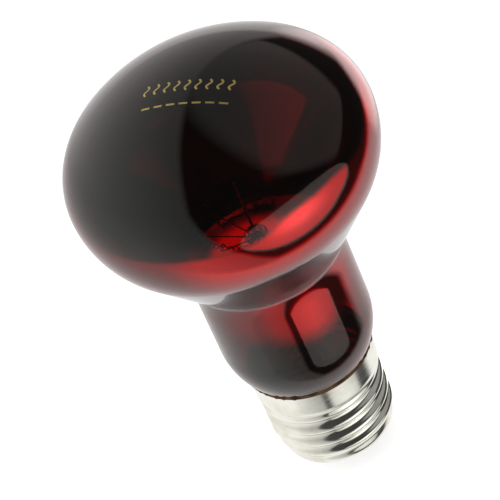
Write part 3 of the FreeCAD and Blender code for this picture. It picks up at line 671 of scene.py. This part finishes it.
class LAMP_OT_mirror_film(bpy.types.Operator):
    """Line the upper neck, the cone and the back with the mirror film"""
    bl_idname = "lamp.mirror_film"
    bl_label = "Mirror film"

    waves: IntProperty(name="Waves", description="Waves of the end in the neck round the axis", default=3)
    low_phase: angle("Low phase", "Turn of the waves of the end in the neck", 123)
    low_side: angle("Low side", "Direction about the axis where that end lies lowest", -90)
    low_width: angle("Low width", "Half the width of that low stretch", 72)
    low_rise: angle("Low rise", "Turn over which that end then rises to the far side", 90)
    tongue_place: angle("Tongue place", "Direction of the front edge's tongue about the axis", -66)
    tongue_width: angle("Tongue width", "Half the width of that tongue", 20)
    near_side: angle("Near side", "Direction about the axis where the front edge lies lowest", -110)
    near_width: angle("Near width", "Half the width of that low stretch", 45)
    rise_width: angle("Rise width", "Turn over which the edge then rises to the far side", 95)

    # How square the tongue's sides are, and how many rows of faces go round the corner.
    tongue_power = 4
    corner_rows = 12

    def away(self, angles, place):
        """Turn about the axis between each angle and a place, between 0 and half a turn."""
        return np.abs((angles - place + math.pi) % TURN - math.pi)

    def risen(self, angles, place, width, turn):
        """Smooth step that is 0 up to a width away from a place and reaches 1 a turn further on."""
        return smooth_step((self.away(angles, place) - width) / turn)

    def low_end(self, bulb, angles):
        """Height where the film thins away in the neck: waves, and a smooth rise to the far side."""
        wave = bulb.film_low_wave * np.sin(self.waves * angles + self.low_phase)
        rise = self.risen(angles, self.low_side, self.low_width, self.low_rise)
        return bulb.film_low + wave + bulb.film_low_lift * rise

    def front_edge(self, bulb, angles):
        """Height of the front edge: a broad tongue and a smooth rise towards the far side."""
        tongue = np.exp(-(self.away(angles, self.tongue_place) / self.tongue_width) ** self.tongue_power)
        rise = self.risen(angles, self.near_side, self.near_width, self.rise_width)
        return bulb.film_front + bulb.film_tongue * tongue + bulb.film_front_lift * rise

    def face(self, bulb, steps, angles, inset):
        """Rows from the neck up to the front edge, all turned about the axis at each angle a.

        The last rows follow the corner's round: (c + r cos b, w + r sin b) in radius and height, with the
        angle b as a share of the front edge's own angle at a.
        """
        flare_start = bulb.waist_height - bulb.flare_radius * math.sin(bulb.flare_angle)
        low = bulb.film_low - bulb.film_low_wave - bulb.film_low_fade / 2
        runs = [(flare_start - low, 0), steps["flare"], steps["waist"], steps["cone"], steps["back"]]
        lower = turned(outline((bulb.neck_diameter / 2, low), 0, runs, inset), bulb.columns)
        reach = self.front_edge(bulb, angles) - bulb.widest_height + bulb.film_front_fade / 2
        share = np.linspace(0, 1, self.corner_rows + 1)[1:, None]
        bend = share * np.arcsin(reach / bulb.corner_radius)
        radius = bulb.head_diameter / 2 - bulb.corner_radius + (bulb.corner_radius - inset) * np.cos(bend)
        height = bulb.widest_height + (bulb.corner_radius - inset) * np.sin(bend)
        return np.vstack([lower, on_rings(radius, height, angles)])

    def cover(self, bulb, grid, angles):
        """Share of the light that the film stops: smooth steps, half done at its low end and front edge."""
        thin = smooth_step((grid[..., 2] - self.low_end(bulb, angles)) / bulb.film_low_fade + 0.5)
        return thin * smooth_step((self.front_edge(bulb, angles) - grid[..., 2]) / bulb.film_front_fade + 0.5)

    def execute(self, context):
        bulb = context.scene.lamp_bulb
        steps = bulb_runs(bulb)
        angles = around(bulb.columns)
        depth = bulb.wall + bulb.film_gap
        outer = self.face(bulb, steps, angles, depth)
        inner = self.face(bulb, steps, angles, depth + bulb.film_thickness)
        grid = np.vstack([outer, inner[::-1]])
        piece = make_skin("mirror_film", grid, joined=True)
        cover = piece.data.attributes.new("cover", "FLOAT", "POINT")
        cover.data.foreach_set("value", self.cover(bulb, grid, angles).astype(np.float32).ravel())
        inside = np.arange(len(grid)) >= len(outer)
        dress(piece, film_mirror(bulb), "mirror_film", "reflector_coating")
        # The inner face gets the second material, in painted shade.
        piece.data.materials.append(film_back(bulb))
        piece.data.polygons.foreach_set("material_index", np.repeat(inside, bulb.columns).astype(np.int32))
        return {"FINISHED"}


def ragged(angles, numbers, twist=0.7, swing=1.8):
    """Mean of sines with whole numbers n of waves round the axis, times swing, so about -1 to 1.

    Each has the phase n + twist * n squared, so that their crests don't meet.
    """
    waves = np.array(numbers)[:, None]
    phases = waves ** 2 * twist + waves
    return np.sin(waves * angles + phases).mean(axis=0) * swing


class LAMP_OT_capping_cement(bpy.types.Operator):
    """Fill the joint between glass and cap with cement that stands out of it in an uneven bead"""
    bl_idname = "lamp.capping_cement"
    bl_label = "Capping cement"

    depth: length("Depth", "Depth of the cement under the rim", 3.6)
    clearance: length("Clearance", "Gap between the cement and its neighbours", 0.03)
    bead_turn: angle("Bead turn", "How far the bead follows the glass foot", 15)
    bulge: length("Bulge", "How far the bead's face stands out", 0.26)
    rim_land: length("Rim land", "Land that the bead leaves bare on the shell's rim", 0.1)
    row_step: length("Row step", "Distance between the rows of faces along the glass", 0.2)

    # Rows of faces up the shell and over its rim, and across the bead's face.
    side_rows = (8, 2)
    face_rows = 9
    # Numbers of lumps round the bead, large and small, and how much of the bulge they add or take.
    large_lumps = (3, 7, 13, 22, 37)
    small_lumps = (17, 41, 58)
    large_share = 0.9
    small_share = 0.5

    def execute(self, context):
        # The bead's face is the line from the shell's rim to the glass, raised along its normal by the bulge
        # times the sine of its share of half a turn, times the lumps at each angle.
        bulb, cap = context.scene.lamp_bulb, context.scene.lamp_cap
        base = cap.height - self.depth
        upright = bulb.seat_end + bulb.seat_length - base
        runs = [(upright, 0), bulb_runs(bulb)["root"], (bulb.foot_radius, -self.bead_turn)]
        inner = outline((bulb.seat_diameter / 2, base), 0, runs, -self.clearance, self.row_step)[::-1]
        rim = np.array([cap.skirt_diameter / 2 - self.rim_land, cap.height + self.clearance])
        inside = cap.skirt_diameter / 2 - cap.wall - self.clearance
        side = polyline([(inside, base), (inside, rim[1]), rim], self.side_rows)
        share = np.linspace(0, 1, self.face_rows + 1)[1:-1, None]
        face = rim + (inner[0] - rim) * share
        normal = np.array([inner[0][1] - rim[1], rim[0] - inner[0][0]])
        normal = normal / np.linalg.norm(normal)
        profile = np.vstack([side, face, inner])
        grid = turned(profile, bulb.columns)
        angles = around(bulb.columns)
        lumps = 1 + self.large_share * ragged(angles, self.large_lumps)
        lumps = lumps + self.small_share * ragged(angles, self.small_lumps)
        lift = self.bulge * np.sin(math.pi * share) * lumps[None, :]
        rows = slice(len(side), len(side) + len(face))
        grid[rows, :, 0] += normal[0] * lift * np.cos(angles)
        grid[rows, :, 1] += normal[0] * lift * np.sin(angles)
        grid[rows, :, 2] += normal[1] * lift
        piece = make_skin("capping_cement_bead", grid, joined=True)
        dress(piece, capping_cement(cap), "cement", "capping_cement")
        return {"FINISHED"}


def thread_wave(phase, cap):
    """Depth under the crest, as a share, of a round thread made of equal tangent arcs."""
    arc = (cap.thread_pitch ** 2 + 4 * cap.thread_depth ** 2) / (16 * cap.thread_depth)
    away = np.abs(phase - np.floor(phase + 0.5)) * cap.thread_pitch
    crest = away < cap.thread_pitch / 4
    reach = np.where(crest, away, cap.thread_pitch / 2 - away)
    sag = (arc - np.sqrt(arc ** 2 - reach ** 2)) / cap.thread_depth
    return np.where(crest, sag, 1 - sag)


def shell_rows(cap, lip_rows=12, thread_rows=110, skirt_rows=10, row_step=0.12 * MM):
    """Radius, height and share of the thread depth for each row, from the lip up to the rim.

    The lip is an arc, the thread opens out of it over a pitch and fades below the step, the step is two
    tangent arcs, and the skirt is straight.
    """
    major = cap.thread_diameter / 2
    minor = major - cap.thread_depth
    drop = cap.skirt_diameter / 2 - major
    bend = drop / (2 * (1 - math.cos(cap.step_angle)))
    top = cap.height - cap.skirt_height - 2 * bend * math.sin(cap.step_angle)
    turn = cap.lip_angle * np.linspace(1, 0, lip_rows + 1)[:-1]
    lip_radius = minor - cap.lip_radius * (1 - np.cos(turn))
    lip_height = cap.thread_bottom - cap.lip_radius * np.sin(turn)
    lip = np.stack([lip_radius, lip_height, 0 * turn], axis=1)
    along = np.linspace(0, top - cap.thread_bottom, thread_rows)
    opened = smooth_step(along / cap.thread_pitch)
    faded = smooth_step((along[-1] - along) / cap.thread_fade)
    thread = np.stack([minor + cap.thread_depth * opened, cap.thread_bottom + along, opened * faded], axis=1)
    arcs = [(bend, cap.step_angle), (bend, -cap.step_angle)]
    step = outline((major, top), 0, arcs, step=row_step)[1:]
    skirt = polyline([step[-1], (cap.skirt_diameter / 2, cap.height)], [skirt_rows])[1:]
    smooth = np.vstack([step, skirt])
    return np.vstack([lip, thread, np.hstack([smooth, np.zeros((len(smooth), 1))])])


def shell_face(cap, inset):
    """Face of the shell: the row's radius less the thread's wave, whose phase rises by a pitch in a turn.

    Each point is moved inwards by inset along the face's normal.
    """
    rows = shell_rows(cap)
    angles = around(cap.columns)
    height = rows[:, 1:2]
    phase = height / cap.thread_pitch - (angles + cap.thread_start) / TURN
    radius = rows[:, :1] - cap.thread_depth * rows[:, 2:] * thread_wave(phase, cap)
    face = on_rings(radius, height, angles)
    across = np.roll(face, -1, axis=1) - np.roll(face, 1, axis=1)
    normal = np.cross(across, np.gradient(face, axis=0))
    return face - inset * normal / np.linalg.norm(normal, axis=-1, keepdims=True)


class LAMP_OT_screw_shell(bpy.types.Operator):
    """Roll the thread into the nickel-plated shell of the cap"""
    bl_idname = "lamp.screw_shell"
    bl_label = "Screw shell"

    def execute(self, context):
        cap = context.scene.lamp_cap
        grid = np.vstack([shell_face(cap, 0.0), shell_face(cap, cap.wall)[::-1]])
        piece = make_skin("threaded_shell", grid, joined=True)
        dress(piece, nickel_plate(cap), "nickel_plate", "screw_shell")
        return {"FINISHED"}


class LAMP_OT_cap_tip(bpy.types.Operator):
    """Close the cap with black glass, the brass contact and its drop of solder"""
    bl_idname = "lamp.cap_tip"
    bl_label = "Cap tip"

    solder_bulge: length("Solder bulge", "How far the side of the solder swells", 0.3)
    row_step: length("Row step", "Distance between the rows of faces along the shell's lip", 0.25)
    edge_turn: angle("Edge turn", "Turn between the rows of faces on the plate's round", 15)
    columns: IntProperty(name="Columns", description="Columns of faces round the tip", default=128, min=24)

    # Places of the two moulded rings and half the width of one, as shares of the slope.
    ring_places = (0.35, 0.72)
    ring_width = 0.06
    # Rows of faces: up the slope, on each run inside the insulator, across the plate, up the plate's side,
    # up the side of the solder, and across the solder's two flats.
    slope_rows = 59
    inside_rows = (2, 8, 3, 6, 6)
    plate_rows = 6
    plate_side_rows = 2
    solder_rows = 24
    flat_rows = 5

    def insulator(self, cap, tip, plate_top):
        """Profile of the black glass: slope, side along the shell's lip, and the well inside.

        Each moulded ring lifts the slope along its normal by its height times exp(-d squared), with the
        distance d from its place in ring widths.
        """
        inset = cap.wall + tip.insulator_gap
        minor = cap.thread_diameter / 2 - cap.thread_depth
        start = (minor - cap.lip_radius * (1 - math.cos(cap.lip_angle)),
                 cap.thread_bottom - cap.lip_radius * math.sin(cap.lip_angle))
        runs = [(cap.lip_radius, -cap.lip_angle), (tip.insulator_top - cap.thread_bottom, 0)]
        side = outline(start, cap.lip_angle, runs, inset, self.row_step)
        foot = np.array([tip.contact_diameter / 2 + tip.insulator_margin, plate_top])
        share = np.linspace(0, 1, self.slope_rows + 1)[:-1, None]
        slope = foot + (side[0] - foot) * share
        down = np.array([side[0][1] - foot[1], foot[0] - side[0][0]])
        away = (share - np.array(self.ring_places)) / self.ring_width
        rings = np.exp(-away ** 2).sum(axis=1, keepdims=True)
        slope = slope + rings * tip.rib_height * down / np.linalg.norm(down)
        inside = polyline([
            side[-1], (side[-1][0] - tip.insulator_margin, tip.insulator_top),
            (tip.insulator_well / 2, tip.insulator_floor), (tip.insulator_bore / 2, tip.insulator_floor),
            (tip.insulator_bore / 2, plate_top), foot], self.inside_rows)[1:-1]
        return np.vstack([slope, side, inside])

    def plate(self, tip, plate_top):
        """Profile of the contact: a flat ring with a quarter circle round its lower edge."""
        radius, hole, low = tip.contact_diameter / 2, tip.eyelet_diameter / 2, tip.solder_height
        quarter = [(tip.contact_round, -math.pi / 2)]
        edge = outline((radius - tip.contact_round, low), math.pi / 2, quarter, finest=self.edge_turn)
        below = polyline([(hole, low), edge[0]], [self.plate_rows])[:-1]
        above = polyline(
            [edge[-1], (radius, plate_top), (hole, plate_top)], [self.plate_side_rows, self.plate_rows])[1:]
        return np.vstack([below, edge, above])

    def solder(self, tip):
        """Profile of the drop: a worn flat, a side that swells by 4 s (1 - s) of the bulge, and its top."""
        share = np.linspace(0, 1, self.solder_rows + 1)[:, None]
        flat = np.array([tip.solder_flat / 2, 0.0])
        rim = np.array([tip.solder_diameter / 2, tip.solder_height])
        out = np.array([rim[1], flat[0] - rim[0]]) / np.linalg.norm(rim - flat)
        dome = flat + (rim - flat) * share + out * self.solder_bulge * 4 * share * (1 - share)
        floor = polyline([(0.0, 0.0), flat], [self.flat_rows])[:-1]
        lid = polyline([rim, (0.0, tip.solder_height)], [self.flat_rows])[1:]
        return np.vstack([floor, dome, lid])

    def execute(self, context):
        cap, tip = context.scene.lamp_cap, context.scene.lamp_tip
        plate_top = tip.solder_height + tip.contact_thickness
        black_grid = turned(self.insulator(cap, tip, plate_top), self.columns)
        black = make_skin("black_glass_insulator", black_grid, joined=True)
        dress(black, black_glass(tip), "black_glass", "cap_insulator")
        disc = make_skin("contact_disc", turned(self.plate(tip, plate_top), self.columns), joined=True)
        dress(disc, stamped_brass(tip), "contact_brass", "contact_plate")
        drop = make_skin("tip_solder", turned(self.solder(tip), self.columns), poles=True)
        dress(drop, tin_solder(tip), "solder", "contact_solder")
        repaint(["rim_solder"], drop.data.materials[0])
        return {"FINISHED"}


class LAMP_OT_mount(bpy.types.Operator):
    """Finish the stem, the lead wires, the supports and the filament inside the bulb"""
    bl_idname = "lamp.mount"
    bl_label = "Mount and filament"

    def execute(self, context):
        mount = context.scene.lamp_mount
        repaint(["stem_flare", "exhaust_tube", "support_rod"], clear_glass(mount))
        # Nickel-plated steel wire, drawn: satin grey with die marks.
        nickel = drawn_wire(
            "nickel_plated_wire_drawn", mount.wire_colour, linear("#7F7B72"), (0.2, 0.4), 0.8)
        repaint(["inner_lead_a", "inner_lead_b", "fuse_wire"], nickel)
        # Copper wire, drawn: warm metal that browned in the sealing flame.
        copper = drawn_wire(
            "copper_wire_drawn", mount.copper_colour, linear("#6E3B22"), (0.25, 0.45), 0.8)
        repaint(["press_seal_a", "press_seal_b", "outer_lead_side", "outer_lead_centre"], copper)
        # Tungsten wire, wound: dark grey with a fine grain from its first flash.
        tungsten = drawn_wire(
            "tungsten_wire_wound", mount.tungsten_colour, linear("#2F3033"), (0.35, 0.6), 0.2)
        repaint(["filament"], tungsten)
        # Molybdenum wire, bent to hooks: cool grey, a little brighter than the filament.
        molybdenum = drawn_wire(
            "molybdenum_wire_bent", mount.molybdenum_colour, linear("#5B5C61"), (0.25, 0.45), 0.4)
        repaint(["support_wire_1", "support_wire_2", "support_wire_3"], molybdenum)
        return {"FINISHED"}


class LAMP_OT_dome_mark(bpy.types.Operator):
    """Print two rows of gold strokes on the dome: standing waves for heat over a dashed rule"""
    bl_idname = "lamp.dome_mark"
    bl_label = "Dome mark"

    waves: IntProperty(name="Waves", description="Number of wavy strokes", default=9, min=1)
    dashes: IntProperty(name="Dashes", description="Number of dashes in the rule", default=7, min=1)
    dash_share: number("Dash share", "Length of a dash as a share of its pitch", 0.66)
    sway: length("Sway", "How far a wavy stroke swings to each side", 0.42)
    wave_margin: length("Wave margin", "How much less than the width the row of wavy strokes spans", 1.2)

    # A stroke's cross-section: places as shares of half its width, heights as shares of the ink's thickness,
    # and the triangles that close its end.
    section_places = (1.0, 0.82, 0.0, -0.82, -1.0, 0.0)
    section_heights = (-0.2, 0.9, 1.0, 0.9, -0.2, -0.4)
    end_faces = ((0, 5, 1), (1, 5, 2), (2, 5, 3), (3, 5, 4))
    # Rows of faces along a stroke.
    stroke_rows = 32

    def ribbons(self, lines, mark, bulb):
        """Band along each line on the dome's sphere: the section set square to the line, and lifted.

        A point's height is that of a sphere of the crown's radius plus its place in the ink.
        """
        radius = bulb_runs(bulb)["crown"][0]
        ahead = np.gradient(lines, axis=1)
        ahead = ahead / np.linalg.norm(ahead, axis=-1, keepdims=True)
        side = np.stack([-ahead[..., 1], ahead[..., 0]], axis=-1)
        edge = np.array(self.section_places) * mark.stroke / 2
        lift = np.array(self.section_heights) * mark.thickness
        flat = lines[:, :, None, :] + side[:, :, None, :] * edge[:, None]
        east = np.array([math.cos(mark.heading), math.sin(mark.heading)])
        north = np.array([-east[1], east[0]])
        across = np.array(mark.centre) + flat[..., :1] * east + flat[..., 1:] * north
        height = np.sqrt((radius + lift) ** 2 - (across ** 2).sum(axis=-1)) + bulb.dome_top - radius
        return np.concatenate([across, height[..., None]], axis=-1)

    def execute(self, context):
        mark, bulb = context.scene.lamp_mark, context.scene.lamp_bulb
        share = np.linspace(-0.5, 0.5, self.stroke_rows + 1)
        place = np.linspace(-0.5, 0.5, self.waves)[:, None] * (mark.width - self.wave_margin)
        across = place + self.sway * np.sin(TURN * share)
        waves = np.stack([across, 0 * across + mark.wave_height * share + mark.row_gap / 2], axis=-1)
        pitch = mark.width / self.dashes
        place = (np.arange(self.dashes)[:, None] - (self.dashes - 1) / 2) * pitch
        across = place + pitch * self.dash_share * share
        dashes = np.stack([across, 0 * across - mark.row_gap / 2], axis=-1)
        grid = self.ribbons(np.concatenate([waves, dashes]), mark, bulb)
        strokes, rows, columns = grid.shape[:3]
        first = np.arange(strokes)[:, None, None] * rows * columns
        quads = (first + ring_faces(rows, columns)[None]).reshape(-1, 4)
        low = np.array(self.end_faces)
        high = low[:, ::-1] + (rows - 1) * columns
        triangles = (first + np.vstack([low, high])[None]).reshape(-1, 3)
        piece = make_mesh("gold_strokes", grid.reshape(-1, 3), quads, triangles)
        dress(piece, gold_ink(mark), "contact_brass")
        return {"FINISHED"}


class LAMP_OT_stage(bpy.types.Operator):
    """Set the pale floor, the soft studio light and the camera"""
    bl_idname = "lamp.stage"
    bl_label = "Stage"

    # Panels round the object: direction, half angle and softness of the edge in degrees. The ceiling shows
    # only inside its edge, and the back panel only in front of the backdrop, which metal and glass see white.
    side_panel = ((-0.865, 0.404, -0.298), 88.5, 3)
    ceiling = ((0.714, 0.333, 0.616), 50, 7)
    ceiling_edge = ((-0.574, -0.325, 0.751), 112, 2)
    back_panel = ((0.618, 0.736, -0.276), 22, 10)
    backdrop = ((-0.277, 0.720, -0.636), 74, 6)
    # Levels of the side panel, and the cosines from its middle between which it goes from one to the other.
    side_levels = (0.5, 1.0)
    side_cosines = (0.12, 0.78)
    # Heights in a direction of length 1 between which the backdrop sets in downwards.
    horizon = (0.07, -0.09)
    # Directions of the oval lamp and of its bright middle, and the point that the lamp faces.
    lamp_direction = (0.496, -0.808, -0.317)
    core_direction = (0.458, -0.827, -0.326)
    lamp_aim = (0.0, 0.0, 0.06)
    # The camera's sensor in millimetres, and the nearest and farthest distance that it sees.
    sensor_width = 36
    sight = (0.01, 50)

    def facing(self, tree, direction, axis, half, soft, level):
        """Brightness of a round panel: full inside its half angle, with a soft edge."""
        turn = add_node(tree, "VectorMath", "Value", {0: direction, 1: axis}, operation="DOT_PRODUCT")
        low, high = math.cos(math.radians(half + soft)), math.cos(math.radians(half - soft))
        return add_node(tree, "MapRange", "Result", {
            "Value": turn, "From Min": low, "From Max": high, "To Max": level},
            interpolation_type="SMOOTHSTEP")

    def brightest(self, tree, levels):
        """The greatest of several brightnesses."""
        most = levels[0]
        for level in levels[1:]:
            most = add_node(tree, "Math", "Value", {0: most, 1: level}, operation="MAXIMUM")
        return most

    def light_room(self, scene, stage):
        """World by direction: the brightest of the panels, plus the glow of the lamp's middle.

        The camera sees it white all round, and glossy and transmitted rays see it white on the backdrop.
        """
        world = bpy.data.worlds.new("soft_studio")
        scene.world = world
        world.use_nodes = True
        tree = world.node_tree
        tree.nodes.clear()
        direction = add_node(tree, "TexCoord", "Generated", {})
        turn = add_node(tree, "VectorMath", "Value", {
            0: direction, 1: self.side_panel[0]}, operation="DOT_PRODUCT")
        fading = add_node(tree, "MapRange", "Result", {
            "Value": turn, "From Min": self.side_cosines[0], "From Max": self.side_cosines[1],
            "To Min": self.side_levels[0], "To Max": self.side_levels[1]})
        side = self.facing(tree, direction, *self.side_panel, fading)
        ceiling = self.facing(tree, direction, *self.ceiling, stage.ceiling_level)
        ceiling = self.facing(tree, direction, *self.ceiling_edge, ceiling)
        turn = add_node(tree, "VectorMath", "Value", {
            0: direction, 1: self.core_direction}, operation="DOT_PRODUCT")
        near = add_node(tree, "MapRange", "Result", {"Value": turn})
        core = add_node(tree, "Math", "Value", {0: near, 1: stage.core_power}, operation="POWER")
        height = add_node(tree, "SeparateXYZ", "Z", {"Vector": direction})
        below = add_node(tree, "MapRange", "Result", {
            "Value": height, "From Min": self.horizon[0], "From Max": self.horizon[1]})
        backdrop = self.facing(tree, direction, *self.backdrop, below)
        back = self.facing(tree, direction, *self.back_panel, stage.back_level)
        back = add_node(tree, "Math", "Value", {0: back, 1: backdrop}, operation="MULTIPLY")
        lamps = self.brightest(tree, [side, ceiling, back, stage.room_level])
        level = add_node(tree, "Math", "Value", {
            0: core, 1: stage.core_level, 2: lamps}, operation="MULTIPLY_ADD")
        path = tree.nodes.new("ShaderNodeLightPath").outputs
        through = self.brightest(tree, [path["Is Glossy Ray"], path["Is Transmission Ray"]])
        shown = add_node(tree, "Math", "Value", {0: through, 1: backdrop}, operation="MULTIPLY")
        seen = self.brightest(tree, [path["Is Camera Ray"], shown, level])
        both = add_node(tree, "Background", "Background", {"Color": (1, 1, 1, 1), "Strength": seen})
        tree.links.new(both, tree.nodes.new("ShaderNodeOutputWorld").inputs["Surface"])

    def hang_lamp(self, scene, stage):
        """Oval lamp that faces the object: its power is its radiance times pi times the oval's area."""
        towards = Vector(self.lamp_direction).normalized()
        data = bpy.data.lights.new("oval_soft_lamp", "AREA")
        data.shape = "ELLIPSE"
        data.size = 2 * stage.lamp_distance * math.tan(stage.lamp_spread)
        data.size_y = 2 * stage.lamp_distance * math.tan(stage.lamp_rise)
        data.energy = stage.lamp_level * math.pi * math.pi * data.size * data.size_y / 4
        lamp = bpy.data.objects.new("oval_soft_lamp", data)
        level = Vector((0, 0, 1)).cross(towards).normalized()
        turn = Matrix((level, towards.cross(level), towards)).transposed().to_4x4()
        lamp.matrix_world = Matrix.Translation(Vector(self.lamp_aim) + towards * stage.lamp_distance) @ turn
        lamp.visible_camera = False
        scene.collection.objects.link(lamp)

    def lay_floor(self, scene, stage):
        """Square sheet of paper under the tip, which only the camera sees."""
        half = stage.floor_size / 2
        mesh = bpy.data.meshes.new("pale_floor")
        corners = [(-half, -half, 0), (half, -half, 0), (half, half, 0), (-half, half, 0)]
        mesh.from_pydata(corners, [], [(0, 1, 2, 3)])
        floor = bpy.data.objects.new("pale_floor", mesh)
        scene.collection.objects.link(floor)
        # Matt white paper: keeps the soft shadow, and the camera sees it lifted to the white of the room.
        material, tree, shader = new_material("white_paper_matt")[:3]
        seen = add_node(tree, "LightPath", "Is Camera Ray", {})
        lift = add_node(tree, "Math", "Value", {0: seen, 1: stage.floor_lift}, operation="MULTIPLY")
        connect(tree, shader, {
            "Base Color": rgba(stage.floor_colour), "Roughness": 1.0, "Specular IOR Level": 0.0,
            "Emission Color": (1, 1, 1, 1), "Emission Strength": lift})
        mesh.materials.append(material)
        for ray in ("diffuse", "glossy", "transmission", "shadow"):
            setattr(floor, "visible_" + ray, False)

    def set_camera(self, scene, stage):
        """Camera at its distance from the aim, raised by its elevation and rolled about its view."""
        tilt, roll = stage.elevation, stage.roll
        back = Vector((0, -math.cos(tilt), math.sin(tilt)))
        level, over = Vector((1, 0, 0)), Vector((0, math.sin(tilt), math.cos(tilt)))
        right = level * math.cos(roll) - over * math.sin(roll)
        up = level * math.sin(roll) + over * math.cos(roll)
        data = bpy.data.cameras.new("photo_camera")
        data.lens = stage.lens
        data.sensor_width = self.sensor_width
        data.clip_start, data.clip_end = self.sight
        camera = bpy.data.objects.new("photo_camera", data)
        turn = Matrix((right, up, back)).transposed().to_4x4()
        camera.matrix_world = Matrix.Translation(Vector(stage.aim) + back * stage.distance) @ turn
        scene.collection.objects.link(camera)
        scene.camera = camera

    def execute(self, context):
        scene, stage = context.scene, context.scene.lamp_stage
        scene.view_settings.view_transform = "Standard"
        self.light_room(scene, stage)
        self.hang_lamp(scene, stage)
        self.lay_floor(scene, stage)
        self.set_camera(scene, stage)
        return {"FINISHED"}


SETTINGS = {
    "lamp_bulb": BulbSettings,
    "lamp_cap": CapSettings,
    "lamp_tip": TipSettings,
    "lamp_mount": MountSettings,
    "lamp_mark": MarkSettings,
    "lamp_stage": StageSettings,
}
OPERATORS = [
    LAMP_OT_glass_bulb, LAMP_OT_mirror_film, LAMP_OT_capping_cement, LAMP_OT_screw_shell,
    LAMP_OT_cap_tip, LAMP_OT_mount, LAMP_OT_dome_mark, LAMP_OT_stage,
]


class LAMP_PT_panel(bpy.types.Panel):
    """Lists the lamp's pieces and their settings"""
    bl_idname = "LAMP_PT_panel"
    bl_label = "Infrared lamp"
    bl_space_type = "VIEW_3D"
    bl_region_type = "UI"
    bl_category = "Infrared lamp"

    def draw(self, context):
        for operator in OPERATORS:
            self.layout.operator(operator.bl_idname)
        for name, group in SETTINGS.items():
            box = self.layout.box()
            for key in group.__annotations__:
                box.prop(getattr(context.scene, name), key)


def register():
    for kind in [*SETTINGS.values(), *OPERATORS, LAMP_PT_panel]:
        bpy.utils.register_class(kind)
    for name, group in SETTINGS.items():
        setattr(bpy.types.Scene, name, PointerProperty(type=group))


def unregister():
    for name in SETTINGS:
        delattr(bpy.types.Scene, name)
    for kind in reversed([*SETTINGS.values(), *OPERATORS, LAMP_PT_panel]):
        bpy.utils.unregister_class(kind)


def main():
    register()
    for operator in OPERATORS:
        group, name = operator.bl_idname.split(".")
        getattr(getattr(bpy.ops, group), name)()


if __name__ == "__main__":
    main()
